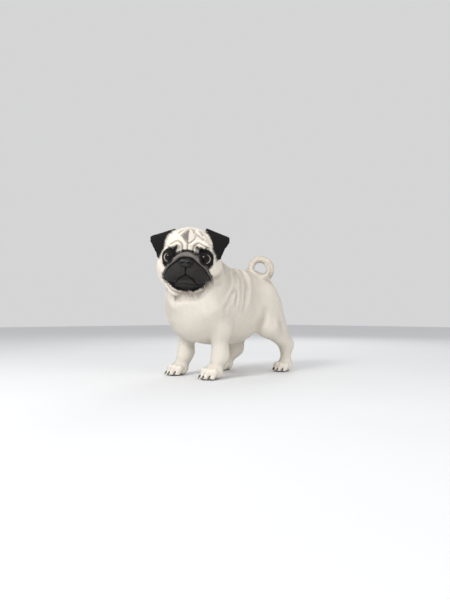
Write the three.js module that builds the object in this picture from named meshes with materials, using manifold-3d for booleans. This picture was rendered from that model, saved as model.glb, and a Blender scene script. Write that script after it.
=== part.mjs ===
// A standing pug, life size, as a still museum model.
// Millimetres, +Z up. The dog faces -Y and its left side is +X.
// The body is one blended form, measured by a distance function made of named round forms. It is
// drawn as a mesh region by region and parted into nodes by thin plane cuts.
import * as THREE from "three";
import { MarchingCubes } from "three/addons/objects/MarchingCubes.js";
import { SimplifyModifier } from "three/addons/modifiers/SimplifyModifier.js";
import { mergeVertices } from "three/addons/utils/BufferGeometryUtils.js";
import Module from "manifold-3d";

const wasm = await Module();
wasm.setup();

// Driving dimensions
const GAP = 0.3; // between nodes that touch
const TRACK = 58; // half the distance between the forepaws
const ELBOW_HEIGHT = 120;
const STIFLE_HEIGHT = 118;
const EYE_RADIUS = 13;
const EYE_PLACE = [39, -45, 0]; // the left eye, in the head's frame
const EAR_THICKNESS = 4.5;
const CLAW_RADIUS = 2.3;

// Where the paws stand: the left hind leg is stretched back and the right one is drawn up.
const PAWS = {
  foreleg_left: { side: 1, x: TRACK, y: -91, size: 1 },
  foreleg_right: { side: -1, x: -TRACK, y: -102, size: 1 },
  hindleg_left: { side: 1, x: TRACK + 7.5, y: 149, size: 0.92, hockHeight: 70 },
  hindleg_right: { side: -1, x: -TRACK - 4, y: 55, size: 0.92, hockHeight: 56 },
};

// The head is turned to the dog's left, bowed a little and tilted, in a frame with -Y ahead of it.
const HEAD_CENTRE = new THREE.Vector3(26, -131, 281);
const HEAD_TURN = THREE.MathUtils.degToRad(46);
const HEAD_NOD = THREE.MathUtils.degToRad(13);
const HEAD_TILT = THREE.MathUtils.degToRad(3);
const headMatrix = new THREE.Matrix4()
  .makeRotationZ(HEAD_TURN)
  .multiply(new THREE.Matrix4().makeRotationX(HEAD_NOD))
  .multiply(new THREE.Matrix4().makeRotationY(HEAD_TILT))
  .setPosition(HEAD_CENTRE);
const headInverse = headMatrix.clone().invert();

const vector = (a) => new THREE.Vector3(...a);
const bothSides = (make) => [make(1), make(-1)];
const { lerp, clamp, smoothstep } = THREE.MathUtils;

// Distance to simple forms, in millimetres, negative inside

// An ellipsoid of three radii.
function ball(centre, radii) {
  const [cx, cy, cz] = centre;
  const [rx, ry, rz] = radii;
  return (p) => {
    const x = (p.x - cx) / rx;
    const y = (p.y - cy) / ry;
    const z = (p.z - cz) / rz;
    const near = Math.hypot(x, y, z);
    const steep = Math.hypot(x / rx, y / ry, z / rz);
    return near < 1e-6 ? -Math.min(rx, ry, rz) : (near * (near - 1)) / steep;
  };
}

// A rod with round ends whose radius goes evenly from one end to the other.
function rod(from, to, radiusFrom, radiusTo) {
  const a = vector(from);
  const along = vector(to).sub(a);
  const lengthSquared = along.lengthSq();
  const offset = new THREE.Vector3();
  return (p) => {
    offset.copy(p).sub(a);
    const t = clamp(offset.dot(along) / lengthSquared, 0, 1);
    offset.addScaledVector(along, -t);
    return offset.length() - lerp(radiusFrom, radiusTo, t);
  };
}

// Several forms joined, with a blend about as wide as the softness.
function blend(softness, forms) {
  return (p) => {
    let d = forms[0](p);
    for (let i = 1; i < forms.length; i++) {
      const e = forms[i](p);
      const h = Math.max(softness - Math.abs(d - e), 0) / softness;
      d = Math.min(d, e) - (h * h * softness) / 4;
    }
    return d;
  };
}

// The forms of the body

const trunkForm = blend(26, [
  ball([0, -45, 173], [80, 98, 100]), // rib cage
  ball([0, -106, 175], [81, 54, 88]), // breast
  ball([0, -58, 243], [43, 58, 34]), // withers
  ball([0, 38, 201], [64, 86, 68]), // back and loin
  ball([0, 28, 154], [62, 83, 81]), // belly
  ball([0, 98, 212], [62, 55, 56]), // croup
]);

const neckForm = blend(20, [
  rod([0, -75, 222], [15, -115, 269], 71, 60),
  rod([5.5, -115, 212], [23, -139, 235], 55, 43), // loose skin of the throat
]);

function forelegForm({ side, x, y }) {
  return blend(18, [
    ball([side * 55, -86, 192], [29, 43, 60]), // shoulder
    rod([side * 58, -98, 162], [side * 62, -66, ELBOW_HEIGHT], 32, 26),
    rod([side * 62, -70, ELBOW_HEIGHT], [x, y + 25, 55], 25, 19),
    rod([x, y + 25, 55], [x, y + 10.5, 24], 19, 17),
  ]);
}

function hindlegForm({ side, x, y, hockHeight }) {
  const hip = [side * 39, 98, 188];
  const stifle = [side * 62, lerp(68, y, 0.3), STIFLE_HEIGHT];
  const hock = [x - side * 3, lerp(103, y, 0.72) + 30, hockHeight];
  return blend(16, [
    ball([side * 43, 96, 175], [36, 51, 53]), // thigh
    rod(hip, stifle, 43, 28),
    rod([side * 47, 117, 165], hock, 36, 16), // hamstring
    rod(stifle, hock, 27, 16),
    rod(hock, [x, y + 9.5, 23], 16, 15),
  ]);
}

// The four toes of a paw: how far each stands to the side and ahead of its middle, and its radius.
const TOES = [
  { across: -17, ahead: 14, radius: 8.5 },
  { across: -6, ahead: 23, radius: 9 },
  { across: 6, ahead: 23, radius: 9 },
  { across: 17, ahead: 14, radius: 8.5 },
];

function pawForm({ x, y, size }) {
  const toes = TOES.map(({ across, ahead, radius }) => {
    const knuckle = [x + across * size, y - ahead * 0.6 * size, 17 * size];
    const tip = [x + across * size, y - ahead * size, (radius - 1.2) * size];
    return blend(5, [
      rod([x + across * 0.7 * size, y + 2, 17 * size], knuckle, 8.5 * size, radius * size),
      rod(knuckle, tip, radius * size, (radius - 0.6) * size),
    ]);
  });
  return blend(6, [ball([x, y + 4.5, 15 * size], [24 * size, 23 * size, 18 * size]), ...toes]);
}

// The head, in its own frame: +X to its left, -Y ahead, +Z up.
const skullForm = blend(15, [
  ball([0, 9.5, 14], [60, 58, 52]), // cranium
  ball([0, -21, 27], [47, 30, 30]), // forehead
  ...bothSides((s) => ball([s * 40, -4, -24], [35, 42, 36])), // cheek
  ball([0, 7.5, -43], [45, 41, 28]), // jaw and throat
  // The loose skin under the chin, from cheek to cheek.
  ...bothSides((s) => rod([s * 47, -2, -47], [s * 23, -28, -71], 23, 16)),
  rod([-23, -28, -71], [23, -28, -71], 16, 16),
]);
const faceForm = blend(7, [
  ball([0, -47, -24], [42, 30, 27]), // muzzle
  ...bothSides((s) => ball([s * 24, -56, -34], [23, 21, 24])), // flew
  ball([0, -51, -53], [29, 24, 14]), // chin
  ...bothSides((s) => ball([s * 39, -37, 1], [20, 15, 19])), // the swelling round the eye
  ...bothSides((s) => ball([s * 28, -41, 27], [20, 12, 9.5])), // brow
  // The fold over the nose, from cheek to cheek.
  ...bothSides((s) => rod([s * 47, -45, -34], [s * 32, -60, -10.5], 8, 8)),
  ...bothSides((s) => rod([s * 32, -60, -10.5], [s * 14, -65, 7.5], 8, 7.5)),
  rod([-14, -65, 7.5], [14, -65, 7.5], 7.5, 7.5),
]);
const headInner = blend(9, [skullForm, faceForm]);
const inner = new THREE.Vector3();
const headForm = (p) => headInner(inner.copy(p).applyMatrix4(headInverse));

const legForms = Object.entries(PAWS).map(([name, paw]) =>
  blend(12, [(name.startsWith("fore") ? forelegForm : hindlegForm)(paw), pawForm(paw)]),
);
const bodyForm = blend(20, [blend(24, [trunkForm, neckForm]), ...legForms]);
const wholeForm = blend(16, [bodyForm, headForm]);

// Drawing the form as a mesh

const probe = new THREE.Vector3();
function slopeOf(form, p) {
  const step = 0.5;
  const d = form(p);
  return new THREE.Vector3(
    form(probe.copy(p).setX(p.x + step)) - d,
    form(probe.copy(p).setY(p.y + step)) - d,
    form(probe.copy(p).setZ(p.z + step)) - d,
  ).divideScalar(step);
}

// Vertices slide to even out the triangles, then go back on to the form.
function relax(geometry, form, cell) {
  const position = geometry.attributes.position;
  const index = geometry.index.array;
  const neighbours = Array.from({ length: position.count }, () => new Set());
  for (let i = 0; i < index.length; i += 3) {
    for (let k = 0; k < 3; k++) {
      const a = index[i + k];
      const b = index[i + ((k + 1) % 3)];
      neighbours[a].add(b);
      neighbours[b].add(a);
    }
  }
  const points = neighbours.map((_, i) => new THREE.Vector3().fromBufferAttribute(position, i));
  for (let pass = 0; pass < 4; pass++) {
    const means = neighbours.map((near, i) => {
      const mean = new THREE.Vector3();
      near.forEach((n) => mean.add(points[n]));
      return points[i].clone().lerp(mean.divideScalar(near.size), 0.5);
    });
    means.forEach((p, i) => {
      const slope = slopeOf(form, p);
      const back = clamp(form(p), -cell, cell) / Math.max(slope.lengthSq(), 0.25);
      points[i].copy(p).addScaledVector(slope, -back);
    });
  }
  points.forEach((p, i) => position.setXYZ(i, p.x, p.y, p.z));
  return geometry;
}

// The part of a form that lies in a box, as one closed mesh of about so many triangles.
async function draw(form, low, high, cell, triangles) {
  const span = Math.max(...low.map((v, i) => high[i] - v));
  const resolution = Math.ceil(span / cell) + 6;
  const centre = low.map((v, i) => (v + high[i]) / 2);
  const half = low.map((v, i) => (high[i] - v) / 2);
  const boxed = (p) =>
    Math.max(
      form(p),
      Math.abs(p.x - centre[0]) - half[0],
      Math.abs(p.y - centre[1]) - half[1],
      Math.abs(p.z - centre[2]) - half[2],
    );
  const cubes = new MarchingCubes(resolution, new THREE.MeshBasicMaterial(), false, false, 60000);
  cubes.isolation = 0;
  const least = cell * 0.06; // a value nearer to zero than this would leave a sliver
  const place = (i, axis) => centre[axis] + (i - resolution / 2) * cell;
  const p = new THREE.Vector3();
  for (let k = 0; k < resolution; k++) {
    for (let j = 0; j < resolution; j++) {
      for (let i = 0; i < resolution; i++) {
        const d = boxed(p.set(place(i, 0), place(j, 1), place(k, 2)));
        const kept = Math.abs(d) < least ? least * (d < 0 ? -1 : 1) : d;
        cubes.field[i + j * resolution + k * resolution * resolution] = -kept;
      }
    }
  }
  cubes.update();
  const corners = cubes.positionArray.slice(0, cubes.count * 3);
  const size = (resolution / 2) * cell;
  const drawn = new THREE.BufferGeometry()
    .setAttribute("position", new THREE.BufferAttribute(corners, 3))
    .scale(size, size, size)
    .translate(...centre);
  const even = relax(mergeVertices(drawn, cell * 0.02), boxed, cell);
  const spare = even.attributes.position.count - triangles / 2;
  return spare > 0 ? new SimplifyModifier().modify(even, spare) : even;
}

// The same mesh with its surface moved out, for cutting what is set against it.
function grown(geometry, form, amount) {
  const bigger = geometry.clone();
  const position = bigger.attributes.position;
  const p = new THREE.Vector3();
  for (let i = 0; i < position.count; i++) {
    p.fromBufferAttribute(position, i);
    p.addScaledVector(slopeOf(form, p).normalize(), amount);
    position.setXYZ(i, p.x, p.y, p.z);
  }
  return bigger;
}

// Solids

function solid(geometry) {
  const bare = geometry.clone();
  bare.deleteAttribute("normal");
  bare.deleteAttribute("uv");
  const merged = mergeVertices(bare, 1e-3);
  const make = (triVerts) => {
    const vertProperties = Float32Array.from(merged.attributes.position.array);
    return new wasm.Manifold(new wasm.Mesh({ numProp: 3, vertProperties, triVerts }));
  };
  const faces = Uint32Array.from(merged.index.array);
  const made = make(faces);
  // Faces that point in are turned round.
  return made.volume() > 0 ? made : make(faces.reverse());
}

function geometryOf(manifold) {
  const mesh = manifold.getMesh();
  const vertices = new Float32Array(mesh.numVert * 3);
  for (let i = 0; i < mesh.numVert; i++) {
    const from = i * mesh.numProp;
    vertices.set(mesh.vertProperties.subarray(from, from + 3), i * 3);
  }
  const geometry = new THREE.BufferGeometry()
    .setAttribute("position", new THREE.BufferAttribute(vertices, 3))
    .setIndex(new THREE.BufferAttribute(Uint32Array.from(mesh.triVerts), 1));
  geometry.computeVertexNormals();
  return geometry;
}

// The largest body of a solid, so that a crumb left by a cut is dropped.
const largest = (manifold) => manifold.decompose().sort((a, b) => b.volume() - a.volume())[0];

// A cut is a point on a plane and the direction of the side that is kept.
const cut = (point, direction) => ({ point: vector(point), direction: vector(direction).normalize() });
const across = ({ point, direction }) => ({ point, direction: direction.clone().negate() });
const headCut = (point, direction) => ({
  point: vector(point).applyMatrix4(headMatrix),
  direction: vector(direction).transformDirection(headMatrix),
});

// What lies on the kept side of every cut, half a gap back from each plane.
function keep(manifold, cuts) {
  return cuts.reduce((rest, { point, direction }) => {
    const offset = direction.dot(point) + GAP / 2;
    return rest.trimByPlane(direction.toArray(), offset);
  }, manifold);
}

// What is left when everything on the kept side of every cut is taken away, with half a gap more.
function without(manifold, cuts) {
  const size = 1200;
  const block = cuts.reduce((rest, { point, direction }) => {
    const offset = direction.dot(point) - GAP / 2;
    return rest.trimByPlane(direction.toArray(), offset);
  }, solid(new THREE.BoxGeometry(size, size, size)));
  return manifold.subtract(block);
}

// Tail, ears, eyes, nose and claws

// A cylinder reshaped along a stretch of a curve, with the radius given at each share of the curve.
function tube(curve, radius, sides, steps, from = 0, to = 1) {
  const geometry = new THREE.CylinderGeometry(1, 1, 1, sides, steps);
  const position = geometry.attributes.position;
  const fine = 120;
  const frames = curve.computeFrenetFrames(fine, false);
  for (let i = 0; i < position.count; i++) {
    const share = lerp(from, to, position.getY(i) + 0.5);
    const k = Math.round(share * fine);
    const reach = radius(share);
    const p = curve
      .getPointAt(share)
      .addScaledVector(frames.normals[k], position.getX(i) * reach)
      .addScaledVector(frames.binormals[k], position.getZ(i) * reach);
    position.setXYZ(i, p.x, p.y, p.z);
  }
  return geometry;
}

// The tail rises from the croup and curls forward over the left hip, once round and a little more.
const CURL = {
  centre: new THREE.Vector3(47, 86, 269),
  facing: new THREE.Vector3(0.76, -0.62, 0.1).normalize(),
  radius: 25.5,
  innerRadius: 9,
  start: -0.6,
  end: 7.2,
  sideways: 31,
};
const TAIL_ROOT_RADIUS = 14.5;
const TAIL_TIP_RADIUS = 7.5;
const TAIL_LENGTHS = [0.02, 0.36, 0.7, 1];

function tailCurve() {
  const { centre, facing, radius, innerRadius, start, end, sideways } = CURL;
  const right = new THREE.Vector3(0, 0, 1).cross(facing).normalize();
  const up = facing.clone().cross(right);
  const points = [new THREE.Vector3(0, 118, 235), new THREE.Vector3(13, 133, 248)];
  const turns = 20;
  for (let i = 0; i <= turns; i++) {
    const t = i / turns;
    const angle = lerp(start, end, t);
    const reach = lerp(radius, innerRadius, smoothstep(t, 0.68, 1));
    const shift = sideways * (smoothstep(t, 0.3, 0.95) - 0.5);
    points.push(
      centre
        .clone()
        .addScaledVector(right, reach * Math.cos(angle))
        .addScaledVector(up, reach * Math.sin(angle))
        .addScaledVector(facing, shift),
    );
  }
  return new THREE.CatmullRomCurve3(points, false, "centripetal");
}

function tailRadius(t) {
  const roundEnd = 0.05;
  const pastEnd = Math.max(t - (1 - roundEnd), 0) / roundEnd;
  return lerp(TAIL_ROOT_RADIUS, TAIL_TIP_RADIUS, t ** 1.6) * Math.sqrt(1 - 0.85 * pastEnd ** 2);
}

// A button ear rises from its root, folds forward and hangs as a triangle with a round tip.
// Each line goes from the ear's inner edge to its outer edge, in the head's frame.
const EAR_ROOT = [[36, -2, 51], [61, 16, 22]];
const EAR_FOLD = [[36, -13, 59], [97, -8, 41]];
const EAR_TIP = [[67, -32, -6], [80, -27, -5]];
const EAR_POINT = 0.15; // the share of the width that the tip lies below
const EAR_TAPER = 0.5;
function earGeometry(side) {
  const geometry = new THREE.BoxGeometry(1, 1, 1, 6, 8, 1);
  const position = geometry.attributes.position;
  const at = ([from, to], u) => vector(from).lerp(vector(to), u);
  // Below the fold the flap narrows towards its tip. The middle point is moved out so that the curve
  // runs through the fold.
  const surface = (share, v) => {
    const u = EAR_POINT + (share - EAR_POINT) * lerp(1, EAR_TAPER, smoothstep(v, 0.5, 1));
    const root = at(EAR_ROOT, u);
    const tip = at(EAR_TIP, u);
    const middle = at(EAR_FOLD, u).multiplyScalar(2).addScaledVector(root, -0.5).addScaledVector(tip, -0.5);
    return root
      .multiplyScalar((1 - v) ** 2)
      .addScaledVector(middle, 2 * (1 - v) * v)
      .addScaledVector(tip, v * v);
  };
  const nudge = 0.01;
  for (let i = 0; i < position.count; i++) {
    const u = position.getX(i) + 0.5;
    const v = (position.getY(i) + 0.5) ** 1.1;
    const alongU = surface(u + nudge, v).sub(surface(u - nudge, v));
    const alongV = surface(u, v + nudge).sub(surface(u, v - nudge));
    const normal = alongU.cross(alongV).normalize();
    const thickness = EAR_THICKNESS * lerp(1.1, 0.75, v);
    const p = surface(u, v).addScaledVector(normal, position.getZ(i) * thickness);
    p.x *= side;
    p.applyMatrix4(headMatrix);
    position.setXYZ(i, p.x, p.y, p.z);
  }
  return geometry;
}

const eyeGeometry = (side, radius) =>
  new THREE.SphereGeometry(radius, 13, 9)
    .rotateX(Math.PI / 2)
    .translate(side * EYE_PLACE[0], EYE_PLACE[1], EYE_PLACE[2])
    .applyMatrix4(headMatrix);

// The nose leather is a rounded block, wider above, set under the fold.
const NOSE_PLACE = [0, -73, -7.5];
const NOSE_SIZE = [14, 8.5, 9.5];
function noseGeometry(grow) {
  const geometry = new THREE.SphereGeometry(1, 12, 8);
  const position = geometry.attributes.position;
  const square = (v) => Math.sign(v) * Math.abs(v) ** 0.8;
  for (let i = 0; i < position.count; i++) {
    const [x, y, z] = [position.getX(i), position.getY(i), position.getZ(i)].map(square);
    position.setXYZ(
      i,
      NOSE_PLACE[0] + x * (1 + 0.18 * z) * (NOSE_SIZE[0] + grow),
      NOSE_PLACE[1] + y * (NOSE_SIZE[1] + grow),
      NOSE_PLACE[2] + z * (NOSE_SIZE[2] + grow),
    );
  }
  return geometry.applyMatrix4(headMatrix);
}

// A claw is a short horn that curves down in front of its toe, clear of the floor.
function clawGeometry({ x, y, size }, toe) {
  const side = x + toe.across * size;
  const root = y - (toe.ahead + toe.radius - 5) * size;
  const curve = new THREE.QuadraticBezierCurve3(
    new THREE.Vector3(side, root, 11 * size),
    new THREE.Vector3(side, root - 6.5 * size, 10.5 * size),
    new THREE.Vector3(side, root - 9 * size, 3),
  );
  return tube(curve, (t) => lerp(CLAW_RADIUS, 0.7, t), 5, 2);
}

// Cuts between the nodes

const NECK_TOP = cut([13, -105, 246], [0.38, -0.6, 0.7]);
const NECK_BASE = cut([0, -74, 226], [0.25, -0.68, 0.68]);
const BEHIND_RIBS = cut([0, 23, 207], [0, -1, 0]);
const FORELEG_TOP = ({ side }) => [
  cut([side * 32, 0, 0], [side, 0, 0]),
  cut([side * 47, -75, 120], [side * 0.42, 0, -0.9]),
  cut([0, -30, 0], [0, -1, 0]),
];
const THIGH_TOP = ({ side }) => [
  cut([side * 23, 0, 0], [side, 0, 0]),
  cut([side * 21, 94, 141], [side * 0.8, 0, -0.6]),
  cut([0, 28, 0], [0, 1, 0]),
];
const STIFLE = cut([0, 0, 100], [0, 0, -1]);
const WRIST = cut([0, 0, 41], [0, 0, -1]);
const HOCK = cut([0, 0, 36], [0, 0, -1]);
const FLOOR = cut([0, 0, -GAP / 2], [0, 0, 1]);
const FACE_FRONT = headCut([0, -42, 0], [0, -1, 0]);
const FACE_TOP = bothSides((s) => headCut([0, 0, 19], [-s * 0.62, 0, -0.78]));
const MOUTH = headCut([0, -56, -48], [0, -0.25, -1]);

// Materials

const finish = (color, roughness) => new THREE.MeshStandardMaterial({ color, roughness, metalness: 0 });
const COAT = finish(0xe3d8c6, 0.9);
const MASK = finish(0x2a2625, 0.85);
const LEATHER = finish(0x131112, 0.45);
const EYE = finish(0x1c0f0a, 0.08);
const HORN = finish(0x1d1a19, 0.4);

const pug = new THREE.Group();
function add(name, manifold, material) {
  const mesh = new THREE.Mesh(geometryOf(largest(manifold)), material);
  mesh.name = name;
  pug.add(mesh);
}

// The nodes

const headMesh = await draw(wholeForm, [-85, -250, 165], [142, -45, 375], 6, 1400);
const trunkMesh = await draw(wholeForm, [-122, -195, 56], [122, 190, 330], 9.5, 1400);
const aroundHead = solid(grown(headMesh, wholeForm, GAP));
const aroundTrunk = solid(grown(trunkMesh, wholeForm, GAP));

// The head
const noseHole = solid(noseGeometry(GAP));
const eyeHoles = bothSides((side) => solid(eyeGeometry(side, EYE_RADIUS + GAP)));
const head = [noseHole, ...eyeHoles].reduce(
  (rest, hole) => rest.subtract(hole),
  keep(solid(headMesh), [NECK_TOP]),
);
add("skull", without(head, [FACE_FRONT, ...FACE_TOP]), COAT);
add("muzzle", keep(head, [FACE_FRONT, ...FACE_TOP, across(MOUTH)]), MASK);
add("lower_jaw", keep(head, [FACE_FRONT, ...FACE_TOP, MOUTH]), MASK);
add("nose", solid(noseGeometry(0)), LEATHER);
for (const [side, word] of [[1, "left"], [-1, "right"]]) {
  add("eye_" + word, solid(eyeGeometry(side, EYE_RADIUS)), EYE);
  add("ear_" + word, solid(earGeometry(side)).subtract(aroundHead), MASK);
}

// The legs, each with its paw and claws, take their blocks out of the trunk.
let trunk = keep(solid(trunkMesh), [across(NECK_BASE)]);
for (const [name, paw] of Object.entries(PAWS)) {
  const fore = name.startsWith("fore");
  const [front, back, top, triangles] = fore ? [-160, -20, 170, 400] : [20, 200, 235, 580];
  const low = [paw.x - 58, front, -12];
  const high = [paw.x + 58, back, top];
  const leg = solid(await draw(wholeForm, low, high, 7.5, triangles));
  const pawLow = [paw.x - 32, paw.y - 47, -8];
  const pawHigh = [paw.x + 32, paw.y + 56, 58];
  const pawMesh = await draw(wholeForm, pawLow, pawHigh, 4.7, 300);
  const topCuts = (fore ? FORELEG_TOP : THIGH_TOP)(paw);
  const pawTop = fore ? WRIST : HOCK;
  trunk = without(trunk, topCuts);
  if (fore) {
    add(name, keep(leg, [...topCuts, across(pawTop)]), COAT);
  } else {
    add(name.replace("hindleg", "thigh"), keep(leg, [...topCuts, across(STIFLE)]), COAT);
    add(name, keep(leg, [...topCuts, STIFLE, across(pawTop)]), COAT);
  }
  add(name.replace("leg", "paw"), keep(solid(pawMesh), [pawTop, FLOOR]), COAT);
  const aroundPaw = solid(grown(pawMesh, wholeForm, GAP));
  TOES.forEach((toe, i) => {
    const claw = solid(clawGeometry(paw, toe)).subtract(aroundPaw);
    add(name.replace("leg", "claw") + "_" + (i + 1), claw, HORN);
  });
}
add("neck", keep(solid(trunkMesh), [NECK_BASE, across(NECK_TOP)]), COAT);
add("chest", keep(trunk, [BEHIND_RIBS]), COAT);
add("loin_and_croup", keep(trunk, [across(BEHIND_RIBS)]), COAT);

// The tail, in three lengths
const curl = tailCurve();
const share = GAP / curl.getLength();
["tail_root", "tail_curl", "tail_tip"].forEach((name, i) => {
  const from = TAIL_LENGTHS[i] + (i > 0 ? share : 0);
  const length = tube(curl, tailRadius, 8, 12, from, TAIL_LENGTHS[i + 1]);
  add(name, solid(length).subtract(aroundTrunk), COAT);
});

// The origin is brought to the middle of the outline, on the floor.
const middle = new THREE.Box3().setFromObject(pug).getCenter(new THREE.Vector3());
pug.position.set(-middle.x, -middle.y, 0);

export default pug;
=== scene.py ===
# %% [markdown]
# # A standing pug, life size
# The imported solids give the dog's size, pose and outline. Here they get one unbroken skin with folds
# and lids, a short coat, wet eyes, nose leather and claws. Lengths in the forms are millimetres in the
# solids' own frame, because a head is easier to think of as 120 wide than as 0.12.

# %% Load the frame
import math

import bmesh
import bpy
import numpy as np
from mathutils import Matrix, Vector
from mathutils.bvhtree import BVHTree


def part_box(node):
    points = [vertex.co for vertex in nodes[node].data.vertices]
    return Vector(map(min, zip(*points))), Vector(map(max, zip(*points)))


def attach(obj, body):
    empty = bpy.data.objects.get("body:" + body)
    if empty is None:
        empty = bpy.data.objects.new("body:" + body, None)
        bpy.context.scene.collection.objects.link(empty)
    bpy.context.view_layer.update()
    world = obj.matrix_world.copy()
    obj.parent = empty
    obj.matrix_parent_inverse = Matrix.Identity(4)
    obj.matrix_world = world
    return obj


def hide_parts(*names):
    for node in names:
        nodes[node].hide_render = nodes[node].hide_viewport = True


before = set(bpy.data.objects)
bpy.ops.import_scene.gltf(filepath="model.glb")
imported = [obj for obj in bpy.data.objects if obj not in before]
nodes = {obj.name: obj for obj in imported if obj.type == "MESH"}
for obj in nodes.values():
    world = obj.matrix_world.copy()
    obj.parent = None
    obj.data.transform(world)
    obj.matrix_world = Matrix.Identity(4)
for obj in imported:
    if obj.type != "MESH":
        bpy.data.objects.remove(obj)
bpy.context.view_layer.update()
MM = 0.001
chance = np.random.default_rng(7)

# %% [markdown]
# ## The camera
# The picture is seen from ahead of the dog's left shoulder, level with its belly. A portrait frame is
# fitted by its width, and the shift puts the dog where the picture has it without tilting the camera.

# %% The camera
AZIMUTH = math.radians(48)
DISTANCE = 1.111
EYE_LEVEL = 0.141
camera_data = bpy.data.cameras.new("camera")
camera_data.sensor_fit = "HORIZONTAL"
camera_data.sensor_width = 36.0
camera_data.lens = 35.71
camera_data.shift_x = 0.0053
camera_data.shift_y = 0.0389
camera = bpy.data.objects.new("camera", camera_data)
camera.location = (DISTANCE * math.sin(AZIMUTH), -DISTANCE * math.cos(AZIMUTH), EYE_LEVEL)
camera.rotation_euler = (math.pi / 2, 0, AZIMUTH)
bpy.context.scene.collection.objects.link(camera)
bpy.context.scene.camera = camera
print("camera", [round(v, 3) for v in camera.location])

# %% [markdown]
# ## The head's own frame
# The head is turned, bowed and tilted. Its features are measured in a frame that turns with it, with
# +X to the dog's left, -Y ahead and +Z up, so that left and right stay mirror images.

# %% The head's frame
HEAD_CENTRE = np.array([26.0, -131.0, 281.0])
TURN, NOD, TILT = (math.radians(angle) for angle in (46, 13, 3))
head_turn = np.array(
    Matrix.Rotation(TURN, 3, "Z") @ Matrix.Rotation(NOD, 3, "X") @ Matrix.Rotation(TILT, 3, "Y")
)


def to_head(points):
    return (points - HEAD_CENTRE) @ head_turn


def from_head(points):
    return np.asarray(points, float) @ head_turn.T + HEAD_CENTRE


# The solids stand over the origin in plan, so their own frame is found again from the eyes.
EYE_PLACE = np.array([39.0, -45.0, 0.0])
eye_middle = np.array(sum(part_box("eye_left"), Vector()) + sum(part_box("eye_right"), Vector())) / 4
PART_SHIFT = eye_middle / MM - from_head(EYE_PLACE * [0, 1, 1])
PART_SHIFT[2] = 0


def to_part(world):
    return np.asarray(world, float) / MM - PART_SHIFT


def to_world(part):
    return (np.asarray(part, float) + PART_SHIFT) * MM


nose_middle = to_part(sum(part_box("nose"), Vector()) / 2)
print("the solids' frame is moved by", PART_SHIFT.round(2), "nose", to_head(nose_middle).round(1))

# %% [markdown]
# ## Forms
# A body without edges is easiest to state as a distance: how far a point is from an ellipsoid or a
# round rod. Distances blend softly into one form, and a mesh can then be drawn on to it exactly. Numpy
# works them out for all points at once.


# %% Distances to simple forms
def smoothstep(low, high, value):
    t = np.clip((value - low) / (high - low), 0, 1)
    return t * t * (3 - 2 * t)


def ball(centre, radii):
    centre, radii = np.array(centre, float), np.array(radii, float)

    def distance(p):
        q = (p - centre) / radii
        near = np.linalg.norm(q, axis=1)
        steep = np.linalg.norm(q / radii, axis=1)
        return near * (near - 1) / np.maximum(steep, 1e-6)

    return distance


def rod(start, end, start_radius, end_radius):
    start, along = np.array(start, float), np.array(end, float) - np.array(start, float)

    def distance(p):
        t = np.clip((p - start) @ along / (along @ along), 0, 1)
        away = np.linalg.norm(p - start - t[:, None] * along, axis=1)
        return away - (start_radius + (end_radius - start_radius) * t)

    return distance


def soft_least(a, b, softness):
    h = np.maximum(softness - np.abs(a - b), 0) / softness
    return np.minimum(a, b) - h * h * softness / 4


def blend(softness, forms):
    def distance(p):
        total = forms[0](p)
        for form in forms[1:]:
            total = soft_least(total, form(p), softness)
        return total

    return distance


def both_sides(make):
    return [make(1), make(-1)]


# %% [markdown]
# ## The body's forms
# The solids were drawn from nearly the same forms: rib cage, breast, withers, back, belly and croup,
# the neck with its loose throat, four legs with their joints, and paws with four toes each. Only the
# throat is slimmer here, so that the roll under the chin stands clear of it.

# %% The trunk, neck and legs
trunk_form = blend(26, [
    ball([0, -45, 173], [80, 98, 100]),
    ball([0, -106, 175], [81, 54, 88]),
    ball([0, -58, 243], [43, 58, 34]),
    ball([0, 38, 201], [64, 86, 68]),
    ball([0, 28, 154], [62, 83, 81]),
    ball([0, 98, 212], [62, 55, 56]),
])
neck_form = blend(20, [
    rod([0, -75, 222], [15, -115, 269], 71, 60),
    rod([5.5, -115, 212], [23, -139, 235], 54, 34),
])
TRACK, ELBOW_HEIGHT, STIFLE_HEIGHT = 58, 120, 118
FORELEGS = [(1, TRACK, -91), (-1, -TRACK, -102)]
HINDLEGS = [(1, TRACK + 7.5, 149, 70), (-1, -TRACK - 4, 55, 56)]
HIND_SIZE = 0.92
TOES = [(-17, 14, 8.5), (-6, 23, 9), (6, 23, 9), (17, 14, 8.5)]


def foreleg_form(side, x, y):
    return blend(18, [
        ball([side * 55, -86, 192], [29, 43, 60]),
        rod([side * 58, -98, 162], [side * 62, -66, ELBOW_HEIGHT], 32, 26),
        rod([side * 62, -70, ELBOW_HEIGHT], [x, y + 25, 55], 25, 19),
        rod([x, y + 25, 55], [x, y + 10.5, 24], 19, 17),
    ])


def hindleg_form(side, x, y, hock_height):
    stifle = [side * 62, 68 + (y - 68) * 0.3, STIFLE_HEIGHT]
    hock = [x - side * 3, 103 + (y - 103) * 0.72 + 30, hock_height]
    return blend(16, [
        ball([side * 43, 96, 175], [36, 51, 53]),
        rod([side * 39, 98, 188], stifle, 43, 28),
        rod([side * 47, 117, 165], hock, 36, 16),
        rod(stifle, hock, 27, 16),
        rod(hock, [x, y + 9.5, 23], 16, 15),
    ])


def paw_form(x, y, size):
    toes = []
    for across, ahead, radius in TOES:
        knuckle = [x + across * size, y - ahead * 0.6 * size, 17 * size]
        tip = [x + across * size, y - ahead * size, (radius - 1.2) * size]
        root = [x + across * 0.7 * size, y + 2, 17 * size]
        toes.append(blend(5, [
            rod(root, knuckle, 8.5 * size, radius * size),
            rod(knuckle, tip, radius * size, (radius - 0.6) * size),
        ]))
    return blend(3.5, [ball([x, y + 4.5, 15 * size], [23.6 * size, 21 * size, 17.5 * size]), *toes])


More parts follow.
